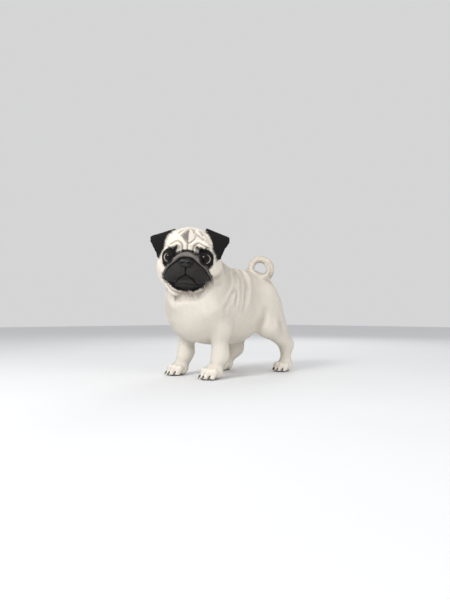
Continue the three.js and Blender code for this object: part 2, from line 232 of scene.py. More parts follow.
leg_forms = [blend(10, [foreleg_form(*leg), paw_form(leg[1], leg[2], 1)]) for leg in FORELEGS]
leg_forms += [blend(10, [hindleg_form(*leg), paw_form(leg[1], leg[2], HIND_SIZE)]) for leg in HINDLEGS]

# %% [markdown]
# ## The tail's form
# The tail curls once round over the left hip and a little more. Its middle line is a list of places
# worked out from an angle and a radius, and its form is the distance to the nearest of them.

# %% The tail
TAIL_CENTRE = np.array([47.0, 86.0, 269.0])
TAIL_FACING = np.array([0.76, -0.62, 0.1]) / np.linalg.norm([0.76, -0.62, 0.1])


def tail_corners():
    right = np.cross([0, 0, 1], TAIL_FACING)
    right /= np.linalg.norm(right)
    up = np.cross(TAIL_FACING, right)
    places = [[0, 118, 235], [13, 133, 248]]
    for t in np.linspace(0, 1, 21):
        angle = -0.6 + 7.8 * t
        reach = 25.5 + (9 - 25.5) * smoothstep(0.68, 1, t)
        shift = 31 * (smoothstep(0.3, 0.95, t) - 0.5)
        around = right * reach * np.cos(angle) + up * reach * np.sin(angle)
        places.append(TAIL_CENTRE + around + TAIL_FACING * shift)
    return np.array(places, float)


def curved(corners, count):
    """A smooth line through the corners, as count places an even distance apart."""
    padded = np.vstack([2 * corners[0] - corners[1], corners, 2 * corners[-1] - corners[-2]])
    steps = np.sqrt(np.linalg.norm(np.diff(padded, axis=0), axis=1))
    knots = np.concatenate([[0], np.cumsum(steps)])

    def between(a, b, i, j, t):
        return a + (b - a) * (t - knots[i]) / (knots[j] - knots[i])

    pieces = []
    for i in range(len(corners) - 1):
        t = np.linspace(knots[i + 1], knots[i + 2], 12, endpoint=False)[:, None]
        one, two, three = (between(padded[i + k], padded[i + k + 1], i + k, i + k + 1, t) for k in range(3))
        early, late = between(one, two, i, i + 2, t), between(two, three, i + 1, i + 3, t)
        pieces.append(between(early, late, i + 1, i + 2, t))
    fine = np.vstack([*pieces, corners[-1:]])
    run = np.concatenate([[0], np.cumsum(np.linalg.norm(np.diff(fine, axis=0), axis=1))])
    even = np.linspace(0, run[-1], count)
    return np.stack([np.interp(even, run, fine[:, axis]) for axis in range(3)], axis=1)


tail_places = curved(tail_corners(), 90)
tail_share = np.linspace(0, 1, len(tail_places))
tail_radii = 14.5 + (7.5 - 14.5) * tail_share**1.6
tail_along = np.gradient(tail_places, axis=0)
tail_along /= np.linalg.norm(tail_along, axis=1)[:, None]


def nearest_on(line, p):
    """Which place of a line is nearest to each point, and how far away it is."""
    best = np.full(len(p), 1e9)
    which = np.zeros(len(p), int)
    for i, place in enumerate(line):
        away = np.linalg.norm(p - place, axis=1)
        closer = away < best
        best[closer] = away[closer]
        which[closer] = i
    return which, best


def tail_form(p):
    value = np.full(len(p), 1e3)
    near = np.linalg.norm(p - TAIL_CENTRE, axis=1) < 95
    which, away = nearest_on(tail_places, p[near])
    value[near] = away - tail_radii[which]
    return value


# %% [markdown]
# ## The head's forms
# A pug's head is a deep round skull with a short square muzzle, and all that shows of its character is
# loose skin: a fold over the nose, hanging flews, cheeks and a roll under the chin. The lids are a thin
# shell round each eyeball with a round opening cut through it.

# %% The head
skull_form = blend(15, [
    ball([0, 9.5, 14], [60, 58, 52]),
    ball([0, -21, 27], [47, 30, 30]),
    *both_sides(lambda s: ball([s * 40, -4, -24], [35, 42, 36])),
    ball([0, 7.5, -43], [45, 41, 28]),
    *both_sides(lambda s: rod([s * 47, -2, -47], [s * 23, -28, -71], 23, 16)),
    rod([-23, -28, -71], [23, -28, -71], 16, 16),
])
EYE_RADIUS = 12.7
LID = 1.7
GAZE = np.array([0.2, -1.0, 0.02])  # the middle of the opening between the lids
LOOK = np.array([0.06, -1.0, 0.1])  # the mean of where the two eyes look
face_form = blend(5, [
    ball([0, -47, -22], [40, 28.5, 26]),
    *both_sides(lambda s: rod([s * 13, -60, -25], [s * 33, -51, -38], 18.5, 14)),
    ball([0, -52, -52], [27, 23, 14]),
    *both_sides(lambda s: ball([s * 39, -36, 1], [20, 15, 19])),
    *both_sides(lambda s: ball([s * 28, -41, 27], [20, 12, 9.5])),
    *both_sides(lambda s: rod([s * 47, -45, -34], [s * 32, -59, -10.5], 7.5, 8)),
    *both_sides(lambda s: rod([s * 32, -59, -10.5], [s * 14, -65, 6], 8, 8)),
    rod([-14, -65, 6], [14, -65, 6], 8, 8),
])
plain_head = blend(9, [skull_form, face_form])


def eye_frame(side):
    """The middle of an eye, and the way to its opening, its outer side and its top, in the head's frame."""
    gaze = GAZE * [side, 1, 1]
    gaze /= np.linalg.norm(gaze)
    outer = np.cross([0, 0, 1], gaze) * -side
    outer /= np.linalg.norm(outer)
    top = np.cross(gaze, outer) * side
    if top[2] < 0:
        top = -top
    return EYE_PLACE * [side, 1, 1], gaze, outer, top


def opening(p, side):
    """Below 1 in front of an eye's opening between the lids, above 1 over the lids."""
    middle, gaze, outer, top = eye_frame(side)
    q = p - middle
    ahead, aside, above = q @ gaze, q @ outer, q @ top
    height = np.where(above > 0, 9.0, 9.5)
    width = np.where(aside > 0, 10.2, 10.6)
    round_one = np.hypot(aside / width, above / height)
    return np.where(ahead > 0, round_one, 9.0)


def head_inner(p):
    value = plain_head(p)
    for side in (1, -1):
        middle = eye_frame(side)[0]
        away = np.linalg.norm(p - middle, axis=1)
        value = soft_least(value, away - (EYE_RADIUS + LID), 3.5)
        inside = np.maximum(EYE_RADIUS - 1.6 - away, (opening(p, side) - 1) * 8)
        value = -soft_least(-value, inside, 1.2)
    return value


def head_form(p):
    value = np.full(len(p), 1e3)
    near = np.linalg.norm(p - HEAD_CENTRE, axis=1) < 170
    value[near] = head_inner(to_head(p[near]))
    return value


body_form = blend(20, [blend(24, [trunk_form, neck_form]), *leg_forms])


def whole_form(p):
    """The head hangs over the throat with a sharp crease, and runs softly into the neck behind."""
    behind = smoothstep(-45, 5, to_head(p)[:, 1])
    head = head_form(p)
    throat = body_form(p) + 10 * (1 - behind) * np.exp(-((np.maximum(head, 0) / 9) ** 2))
    return soft_least(soft_least(throat, head, 4 + 13 * behind), tail_form(p), 6)


# %% [markdown]
# ## Ears
# A button ear is a thin leather flap: it rises from the skull, folds forward and hangs as a triangle.
# A flat grid is laid on to a curved sheet through a root line, a fold line and a tip line, and solidify
# gives it its thickness. Its outer edge is straighter and its corner rounder than on the solid ear.

# %% The ears
EAR_ROOT = np.array([[36.0, -2, 51], [61, 16, 22]])
EAR_FOLD = np.array([[36.0, -13, 59], [97, -8, 41]])
EAR_TIP = np.array([[67.0, -32, -6], [80, -27, -5]])
EAR_THICKNESS = 4.2
EAR_POINT = 0.15  # the share of the width that the ear narrows towards
EAR_TAPER = 0.5  # how wide the tip line is, as a share of the full width
EAR_ROUND = 0.09  # the share of the width that its outer corner is rounded off by


def ear_sheet(u, v):
    """A place on the left ear: u goes from its inner to its outer edge, v from its root to its tip."""
    u, v = np.asarray(u, float)[:, None], np.asarray(v, float)[:, None]
    narrower = np.clip(2 * v - 1, 0, 1) ** 1.6
    u = u - EAR_ROUND * u**4 * np.exp(-(((v - 0.5) / 0.13) ** 2))
    u = EAR_POINT + (u - EAR_POINT) * (1 + (EAR_TAPER - 1) * narrower)
    root, fold, tip = (line[0] + (line[1] - line[0]) * u for line in (EAR_ROOT, EAR_FOLD, EAR_TIP))
    middle = 2 * fold - (root + tip) / 2
    sheet = root * (1 - v) ** 2 + middle * 2 * (1 - v) * v + tip * v * v
    edge = (2 * u - 1) ** 2
    return sheet + np.array([0.25, 1.0, -0.1]) * (3.2 * edge * v * (1 - 0.4 * v))


def make_ear(side):
    bm = bmesh.new()
    bmesh.ops.create_grid(bm, x_segments=14, y_segments=16, size=0.5)
    grid = np.array([vert.co[:] for vert in bm.verts])
    places = ear_sheet(grid[:, 0] + 0.5, (grid[:, 1] + 0.5) ** 1.1) * [side, 1, 1]
    for vert, place in zip(bm.verts, to_world(from_head(places))):
        vert.co = place
    bmesh.ops.recalc_face_normals(bm, faces=bm.faces)
    bmesh.ops.solidify(bm, geom=bm.faces[:], thickness=EAR_THICKNESS * MM)
    bmesh.ops.recalc_face_normals(bm, faces=bm.faces)
    return bm


EAR_GRID = [(u, v) for u in np.linspace(0, 1, 15) for v in np.linspace(0, 1, 21)]
ear_u, ear_v = np.array(EAR_GRID).T
ear_places = ear_sheet(ear_u, ear_v)
ear_along = ear_sheet(ear_u, ear_v + 0.02) - ear_sheet(ear_u, ear_v - 0.02)
ear_along /= np.linalg.norm(ear_along, axis=1)[:, None]

# %% [markdown]
# ## One skin
# Every flesh solid is copied, swelled by half a millimetre so that the thin cuts between them close,
# and joined. Copies of the eyes and the nose fill their hollows, or the skin would crumple in them, and
# the ears come from their own sheet. A voxel remesh then draws one closed skin round them all. Its
# points slide on to the forms, less the depth of the coat, which takes away the solids' flat facets.

# %% Copy and remesh the flesh
EYES_AND_HORN = [name for name in nodes if name.startswith("eye_") or "claw" in name or name == "nose"]
FLESH = [name for name in nodes if name not in EYES_AND_HORN]
UNDER_SKIN = [name for name in FLESH if not name.startswith("ear_")] + ["eye_left", "eye_right", "nose"]
SWELL = 0.5 * MM
VOXEL = 3.35 * MM


def mesh_object(name, mesh):
    made = bpy.data.objects.new(name, mesh)
    bpy.context.scene.collection.objects.link(made)
    return made


def flesh_copy():
    joined = bmesh.new()
    for name in UNDER_SKIN:
        copy = bmesh.new()
        copy.from_mesh(nodes[name].data)
        bmesh.ops.remove_doubles(copy, verts=copy.verts, dist=0.01 * MM)
        copy.normal_update()
        for vert in copy.verts:
            vert.co += vert.normal * SWELL
        holder = bpy.data.meshes.new(name + "_copy")
        copy.to_mesh(holder)
        joined.from_mesh(holder)
        copy.free()
        bpy.data.meshes.remove(holder)
    for side in (1, -1):
        ear = make_ear(side)
        holder = bpy.data.meshes.new("ear_copy")
        ear.to_mesh(holder)
        joined.from_mesh(holder)
        ear.free()
        bpy.data.meshes.remove(holder)
    return joined


rough = bpy.data.meshes.new("rough_skin")
flesh = flesh_copy()
flesh.to_mesh(rough)
flesh.free()
rough_skin = mesh_object("rough_skin", rough)
remesh = rough_skin.modifiers.new("remesh", "REMESH")
remesh.mode = "VOXEL"
remesh.voxel_size = VOXEL
remesh.adaptivity = 0
evaluated = rough_skin.evaluated_get(bpy.context.evaluated_depsgraph_get())
skin_mesh = bpy.data.meshes.new_from_object(evaluated)
skin_mesh.name = "skin"
bpy.data.objects.remove(rough_skin)
print("remeshed skin faces", len(skin_mesh.polygons))

# %% [markdown]
# ## More points where the detail is
# Folds, lids and toes need a finer mesh than the back does, so the face is divided twice and the front
# of the head and the paws once.


# %% Divide the face and paws
def points_of(mesh):
    flat = np.zeros(len(mesh.vertices) * 3)
    mesh.vertices.foreach_get("co", flat)
    return flat.reshape(-1, 3)


def normals_of(mesh):
    flat = np.zeros(len(mesh.vertices) * 3)
    mesh.vertices.foreach_get("normal", flat)
    return flat.reshape(-1, 3)


def divide(bm, wanted):
    """Divides each edge whose two ends are both wanted."""
    places = to_part(np.array([vert.co[:] for vert in bm.verts]))
    chosen = wanted(places)
    edges = [edge for edge in bm.edges if chosen[edge.verts[0].index] and chosen[edge.verts[1].index]]
    bmesh.ops.subdivide_edges(bm, edges=edges, cuts=1, use_grid_fill=True)
    bm.verts.ensure_lookup_table()
    bm.verts.index_update()


def head_front(p):
    local = to_head(p)
    near = np.linalg.norm(local, axis=1) < 115
    toes = p[:, 2] < 27
    return (near & (local[:, 1] < -20) & (np.abs(local[:, 0]) < 66)) | toes


def face_front(p):
    local = to_head(p)
    middle = np.abs(local[:, 0]) < 57
    return middle & (local[:, 1] < -35) & (local[:, 2] > -76) & (local[:, 2] < 36)


bm = bmesh.new()
bm.from_mesh(skin_mesh)
for wanted in (head_front, face_front):
    divide(bm, wanted)
bmesh.ops.triangulate(bm, faces=[face for face in bm.faces if len(face.verts) > 4])
bm.to_mesh(skin_mesh)
bm.free()
print("divided skin points", len(skin_mesh.vertices), "faces", len(skin_mesh.polygons))

# %% [markdown]
# ## Where the regions are
# The coat is deep on the trunk and thin on the face, so each region gets a share from 0 to 1 at every
# point: ears, face, head, paws, legs and tail. What is left is the trunk.


# %% Shares of the regions
def ear_share(p, head_value):
    local = to_head(p)
    mirrored = local * np.where(local[:, :1] < 0, [[-1, 1, 1]], [[1, 1, 1]])
    near = np.linalg.norm(mirrored - [66, -8, 25], axis=1) < 62
    which = np.zeros(len(p), int)
    away = np.full(len(p), 1e3)
    which[near], away[near] = nearest_on(ear_places, mirrored[near])
    share = (1 - smoothstep(5, 8, away)) * smoothstep(0.8, 3, head_value)
    return share, which


def regions(p):
    local = to_head(p)
    head_value = head_form(p)
    body_value = body_form(p)
    tail_value = tail_form(p)
    ears, ear_which = ear_share(p, np.minimum(head_value, body_value))
    head = smoothstep(-12, 10, body_value - head_value) * (head_value < 60)
    muzzle_away = np.linalg.norm((local - [0, -62, -34]) / [50, 36, 42], axis=1)
    face = 1 - smoothstep(0.9, 1.9, muzzle_away)
    paws = 1 - smoothstep(24, 48, p[:, 2])
    legs = 1 - smoothstep(95, 150, p[:, 2])
    tail = smoothstep(-6, 8, np.minimum(body_value, head_value) - tail_value) * (tail_value < 60)
    crease = np.exp(-(((body_value - head_value) / 4.5) ** 2)) * smoothstep(5, -30, local[:, 1])
    return {
        "local": local, "ears": ears, "ear_which": ear_which, "head": head * (1 - ears), "face": face,
        "paws": paws, "legs": legs * (1 - head), "tail": tail, "crease": crease,
    }


def mix(a, b, share):
    return a + (b - a) * share


def coat_depth(where):
    depth = mix(3.2, 2.0, where["legs"])
    depth = mix(depth, 1.8, where["head"])
    depth = mix(depth, 0.7, where["face"])
    depth = mix(depth, 1.0, where["paws"])
    return mix(depth, 4.0, where["tail"])


# %% [markdown]
# ## Slide the skin on to the forms
# A point moves along the slope of the distance until the distance says that it lies on the skin. The
# ears and the tight bend at the tail's root are left to themselves, evened out and made thinner.


# %% Slide and smooth
def slope_of(form, p, step=0.4):
    value = form(p)
    slope = np.stack([form(p + np.eye(3)[axis] * step) - value for axis in range(3)], axis=1)
    return value, slope / step


def settle(p, form, depth, share, passes):
    for _ in range(passes):
        value, slope = slope_of(form, p)
        size = np.maximum((slope**2).sum(axis=1), 0.3)
        move = np.clip((value + depth) / size, -2.5, 2.5) * share
        p = p - move[:, None] * slope
    return p


def evened_out(mesh, p, share, passes):
    """Each point goes part of the way to the mean of its neighbours."""
    pairs = np.zeros(len(mesh.edges) * 2, int)
    mesh.edges.foreach_get("vertices", pairs)
    a, b = pairs.reshape(-1, 2).T
    count = np.bincount(np.concatenate([a, b]), minlength=len(p)).astype(float)[:, None]
    for _ in range(passes):
        total = np.zeros_like(p)
        for axis in range(3):
            total[:, axis] += np.bincount(a, p[b, axis], len(p)) + np.bincount(b, p[a, axis], len(p))
        p = p + (total / count - p) * share[:, None]
    return p


TAIL_BEND = np.array([12.0, 142.0, 245.0])  # the tight bend at the root keeps its remeshed shape
skin_at = to_part(points_of(skin_mesh))
first = regions(skin_at)
loose = first["ears"]
calm = 1 - smoothstep(10, 22, np.linalg.norm(skin_at - TAIL_BEND, axis=1))
free = (1 - loose) * (1 - calm)
skin_at = evened_out(skin_mesh, skin_at, 0.2 + 0.3 * loose, 4)
skin_at = evened_out(skin_mesh, skin_at, 0.5 * loose, 6)
for passes in (3, 2):
    skin_at = settle(skin_at, whole_form, coat_depth(first), free, passes)
    skin_at = evened_out(skin_mesh, skin_at, np.full(len(skin_at), 0.25), 1)
skin_at = settle(skin_at, whole_form, coat_depth(first), free, 2)
skin_at[:, 2] = np.maximum(skin_at[:, 2], 0)


def put_points(mesh, p):
    mesh.vertices.foreach_set("co", to_world(p).ravel())
    mesh.update()


put_points(skin_mesh, skin_at)
skin_at = skin_at - normals_of(skin_mesh) * (0.7 * loose + 3.0 * calm)[:, None]
put_points(skin_mesh, skin_at)
print("skin size", np.ptp(skin_at, axis=0).round(1))

# %% [markdown]
# ## Folds in the skin
# A fold is a groove between two low swellings. On the face each groove follows a line seen from ahead,
# as a few points across and up in the head's frame, and presses the skin in by its depth where the
# line runs. The forehead's diamond, the arches of the brows, the edges of the fold over the nose, the
# lips and the mouth are all such lines.

# %% Folds of the face
FACE_FOLDS = [
    # The diamond on the forehead and the line under it.
    ([(-15, 48), (2, 62), (17, 47), (2, 32), (-15, 48)], 1.5, 1.8),
    ([(1, 32), (0, 20)], 1.6, 2.0),
    # The arches of the brows.
    ([(-37, 29), (-22, 36), (-12, 30), (-10, 17)], 1.8, 2.6),
    ([(43, 24), (24, 33), (14, 26), (12, 15)], 1.8, 2.6),
    # Wrinkles on the top of the head.
    ([(-6, 67), (-22, 52)], 1.8, 2.0),
    ([(12, 66), (12, 55), (19, 50), (33, 40)], 1.8, 2.0),
    ([(22, 68), (24, 58), (31, 49)], 1.8, 2.0),
    # The upper and the lower edge of the fold over the nose.
    ([(-55, -40), (-43, -16), (-24, 7), (0, 16), (24, 7), (43, -16), (55, -40)], 1.9, 3.4),
    ([(-51, -42), (-38, -20), (-20, -5), (-12, 2), (12, 2), (20, -5), (38, -20), (51, -42)], 1.7, 3.0),
    # The groove of the upper lip, and the edges of the hanging lips on both sides of the chin.
    ([(0, -16), (0, -33)], 1.3, 2.4),
    ([(0, -32), (-13, -41), (-23, -55)], 1.5, 3.2),
    ([(0, -32), (13, -41), (23, -55)], 1.5, 3.2),
    ([(-23, -55), (-36, -57), (-48, -50)], 1.8, 3.6),
    ([(23, -55), (36, -57), (48, -50)], 1.8, 3.6),
    # The mouth between the chin and the lower lip.
    ([(-22, -58), (-9, -53), (9, -53), (22, -58)], 1.2, 1.2),
    # The roll under the chin.
    ([(-50, -56), (-34, -72), (-12, -79), (12, -79), (34, -72), (50, -56)], 2.6, 3.5),
]


def off_line(p, line):
    """How far each point is from a line through a few corners, rounded off between them."""
    line = curved(np.array([[*corner, 0.0] for corner in line]), 8 * len(line))[:, :2]
    best = np.full(len(p), 1e3)
    for start, end in zip(line, line[1:]):
        along = end - start
        t = np.clip((p - start) @ along / (along @ along), 0, 1)
        best = np.minimum(best, np.linalg.norm(p - start - t[:, None] * along, axis=1))
    return best


def pressed(away, width, depth):
    """How deep a groove is at a distance from its line, with a low swelling at each side."""
    groove = np.exp(-((away / width) ** 2))
    swelling = np.exp(-(((away - 2.6 * width) / (1.3 * width)) ** 2))
    return depth * (groove - 0.38 * swelling)


def face_folds(local):
    """The depth pressed into the face at each point, and how far into a groove it lies."""
    pressed_in, shade = np.zeros(len(local)), np.zeros(len(local))
    ahead = np.nonzero((local[:, 1] < 6) & (np.abs(local[:, 0]) < 75) & (local[:, 2] > -95))[0]
    seen = local[ahead][:, [0, 2]]
    fade = 1 - smoothstep(-24, 4, local[ahead, 1])
    for line, width, depth in FACE_FOLDS:
        away = off_line(seen, line)
        pressed_in[ahead] += fade * pressed(away, width, depth)
        shade[ahead] = np.maximum(shade[ahead], fade * np.exp(-((away / width) ** 2)))
    return np.clip(pressed_in, -1.8, 4.0), shade


# %% [markdown]
# ## Folds of the body
# Loose skin hangs in long soft folds from the neck over the shoulder, and a fold runs from the flank to
# the thigh. Their lines lie on the left side, and the same folds are made on the right.

# %% Folds of the body
BODY_FOLDS = [
    ([(38, 2, 264), (57, -16, 243), (74, -32, 211), (90, -81, 162)], 4.8, 5.2),
    ([(71, -27, 223), (75, -27, 205), (80, -38, 172)], 4.3, 3.8),
    ([(20, 30, 268), (61, 18, 225), (74, -2, 161)], 5.2, 4.8),
    ([(76, 66, 162), (69, 61, 135), (55, 58, 112)], 6.0, 4.5),
]


def body_folds(p, where):
    pressed_in, shade = np.zeros(len(p)), np.zeros(len(p))
    for line, width, depth in BODY_FOLDS:
        line = curved(np.array(line, float), 36)
        fade = np.sin(np.linspace(0.12, np.pi - 0.12, 36)) ** 0.5
        for side in (1, -1):
            which, away = nearest_on(line * [side, 1, 1], p)
            pressed_in += pressed(away, width, depth) * fade[which]
            shade = np.maximum(shade, np.exp(-((away / (0.55 * width)) ** 2)) * fade[which])
    on_body = (1 - where["head"]) * (1 - where["tail"])
    return np.clip(pressed_in, -2.0, 5.0) * on_body, shade * on_body


where = regions(skin_at)
skin_at = skin_at - normals_of(skin_mesh) * body_folds(skin_at, where)[0][:, None]
pressed_in, shade = face_folds(where["local"])
at_eye = np.minimum(opening(where["local"], 1), opening(where["local"], -1))
spared = smoothstep(1.25, 1.7, at_eye) * (1 - where["ears"])
skin_at = skin_at - normals_of(skin_mesh) * (pressed_in * spared * where["head"])[:, None]
skin_at = evened_out(skin_mesh, skin_at, 0.25 * spared, 1)
put_points(skin_mesh, skin_at)
print("deepest fold", pressed_in.max().round(2))

# %% [markdown]
# ## The eyes
# A pug's eye is large, dark and wet, with a brown iris that fills the opening and a wide black pupil.
# One sphere with its front drawn out a little stands for the cornea, and its points keep their place in
# the eye's own plane, which the material reads for the rings.


# %% The eyes
def make_eye(side, word):
    middle = eye_frame(side)[0]
    bm = bmesh.new()
    bmesh.ops.create_uvsphere(bm, u_segments=64, v_segments=48, radius=1)
    look = LOOK + [0.1 * side, 0, 0]
    look /= np.linalg.norm(look)
    aside = np.cross([0, 0, 1], look)
    aside /= np.linalg.norm(aside)
    turned = np.stack([aside, np.cross(look, aside), look], axis=1)
    plane = []
    for vert in bm.verts:
        x, y, z = vert.co
        plane.append((x, y, z))
        away = math.hypot(x, y)
        bulge = 1 + 0.05 * max(0.0, z) * max(0.0, 1 - (away / 0.62) ** 2)
        place = middle + turned @ (np.array([x, y, z]) * EYE_RADIUS * bulge)
        vert.co = to_world(from_head(place[None]))[0]
    bmesh.ops.recalc_face_normals(bm, faces=bm.faces)
    mesh = bpy.data.meshes.new("eyeball_" + word)
    bm.to_mesh(mesh)
    bm.free()
    mesh.attributes.new("eye_plane", "FLOAT_VECTOR", "POINT")
    mesh.attributes["eye_plane"].data.foreach_set("vector", np.array(plane).ravel())
    mesh.shade_smooth()
    eye = mesh_object("eyeball_" + word, mesh)
    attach(eye, "root")
    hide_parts("eye_" + word)
    return eye


eyes = [make_eye(1, "left"), make_eye(-1, "right")]
print("eyes", [eye.name for eye in eyes])

# %% [markdown]
# ## Nose leather
# The nose is a broad block of bare leather under the fold, with two comma-shaped nostrils open to the
# sides and a groove down its middle. A sphere is squared off, and the openings are pressed in from
# ahead in the way of the folds.

# %% The nose
NOSE_PLACE = np.array([0.0, -73.0, -7.5])
NOSE_SIZE = np.array([13.6, 8.4, 9.2])
NOSTRIL_LINES = [([(side * 4.8, 0.6), (side * 7.4, 1.8), (side * 9.2, -0.6), (side * 12.4, -2.6)])
                 for side in (1, -1)]


def make_nose():
    bm = bmesh.new()
    bmesh.ops.create_uvsphere(bm, u_segments=96, v_segments=64, radius=1)
    bmesh.ops.rotate(bm, verts=bm.verts, matrix=Matrix.Rotation(math.pi / 2, 3, "Y"))
    unit = np.array([vert.co[:] for vert in bm.verts])
    squared = np.sign(unit) * np.abs(unit) ** 0.82
    place = squared * NOSE_SIZE
    place[:, 0] *= 1 + 0.18 * squared[:, 2]
    seen = place[:, [0, 2]]
    deep = np.zeros(len(place))
    for line in NOSTRIL_LINES:
        deep += 3.6 * np.exp(-((off_line(seen, line) / 1.35) ** 2))
        deep -= 0.7 * np.exp(-(((off_line(seen, line) - 2.6) / 1.0) ** 2))
    deep += 0.9 * np.exp(-((off_line(seen, [(0, 3), (0, -9.5)]) / 0.7) ** 2))
    place[:, 1] += deep * smoothstep(0.1, -0.5, unit[:, 1])
    for vert, spot in zip(bm.verts, to_world(from_head(place + NOSE_PLACE))):
        vert.co = spot
    bmesh.ops.recalc_face_normals(bm, faces=bm.faces)
    mesh = bpy.data.meshes.new("nose_leather")
    bm.to_mesh(mesh)
    bm.free()
    mesh.shade_smooth()
    nose = mesh_object("nose_leather", mesh)
    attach(nose, "root")
    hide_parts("nose")
    return nose


nose_leather = make_nose()

# %% [markdown]
# ## Claws
# Four short black horns a paw curve down ahead of the toes. A ring is extruded along the curve and
# shrunk at each step, and its two ends are closed.

# %% The claws
CLAW_STEPS = 7
CLAW_SIDES = 12


def add_claw(bm, x, y, size, toe):
    across, ahead, radius = toe
    side, root = x + across * size, y - (ahead + radius - 5) * size
    start = np.array([side, root + 3, 10.5 * size])
    bend = np.array([side, root - 6.5 * size, 11 * size])
    end = np.array([side, root - 8.6 * size, 3.2])
    ring = bmesh.ops.create_circle(bm, segments=CLAW_SIDES, radius=1)["verts"]
    wall = list({edge for vert in ring for edge in vert.link_edges})
    root_edges = wall
    for t in np.linspace(0, 1, CLAW_STEPS):
        middle = (1 - t) ** 2 * start + 2 * t * (1 - t) * bend + t * t * end
        ahead_now = Vector(2 * (1 - t) * (bend - start) + 2 * t * (end - bend)).normalized()
        if t > 0:
            made = bmesh.ops.extrude_edge_only(bm, edges=wall)["geom"]
            ring = [item for item in made if isinstance(item, bmesh.types.BMVert)]
            wall = [item for item in made if isinstance(item, bmesh.types.BMEdge)]
        reach = 2.4 + (0.55 - 2.4) * t**1.3
        aside = Vector((1, 0, 0))
        above = aside.cross(ahead_now)
        for k, vert in enumerate(ring):
            angle = 2 * math.pi * k / CLAW_SIDES
            offset = aside * (0.8 * math.cos(angle)) + above * math.sin(angle)
            vert.co = Vector(middle) + offset * reach
    bmesh.ops.contextual_create(bm, geom=root_edges)
    bmesh.ops.contextual_create(bm, geom=wall)


def make_claws():
    bm = bmesh.new()
    paws = [(*leg[1:3], 1) for leg in FORELEGS] + [(*leg[1:3], HIND_SIZE) for leg in HINDLEGS]
    for x, y, size in paws:
        for toe in TOES:
            add_claw(bm, x, y, size, toe)
    for vert in bm.verts:
        vert.co = to_world(np.array(vert.co))
    bmesh.ops.recalc_face_normals(bm, faces=bm.faces)
    mesh = bpy.data.meshes.new("claws")
    bm.to_mesh(mesh)
    bm.free()
    mesh.shade_smooth()
    made = mesh_object("claws", mesh)
    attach(made, "root")
    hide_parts(*[name for name in nodes if "claw" in name])
    return made


claws = make_claws()

# %% [markdown]
# ## Markings
# The coat is pale fawn, with a black mask, black ears, black patches that reach up from the eyes, a
# grey fold over the nose and a grey thumb mark on the forehead. One function gives the colour at any
# place, so that the skin and the coat that grows on it always agree.

# %% The markings
PALE = np.array([0.83, 0.775, 0.685])
WARM = np.array([0.50, 0.39, 0.275])
GREY = np.array([0.185, 0.168, 0.155])
SOOT = np.array([0.034, 0.031, 0.030])
BLACK = np.array([0.0075, 0.007, 0.007])
# The colour that creases and folds are painted darker with: painted shade, with some of the darker hair that
# real creases have.
CREASE_PIGMENT_AND_SHADE = np.array([0.24, 0.185, 0.14])


def ragged(p, size):
    """A soft wobble from -1 to 1 with features of about that size, so that no edge is a clean line."""
    q = p / size
    a = np.sin(q @ [1.3, 0.7, -0.9] + 1.1) * np.sin(q @ [-0.6, 1.2, 0.8] + 0.3)
    b = np.sin(q @ [2.3, -1.9, 1.4] + 2.0) * np.sin(q @ [1.7, 2.2, -2.1] + 4.0)
    return np.clip(a + 0.6 * b, -1, 1)


eye_patch = blend(6, [
    rod([39, -48, -3], [40, -44, 3], 21, 19),
    rod([34, -52, 12], [15, -57, 27], 9, 4),
])


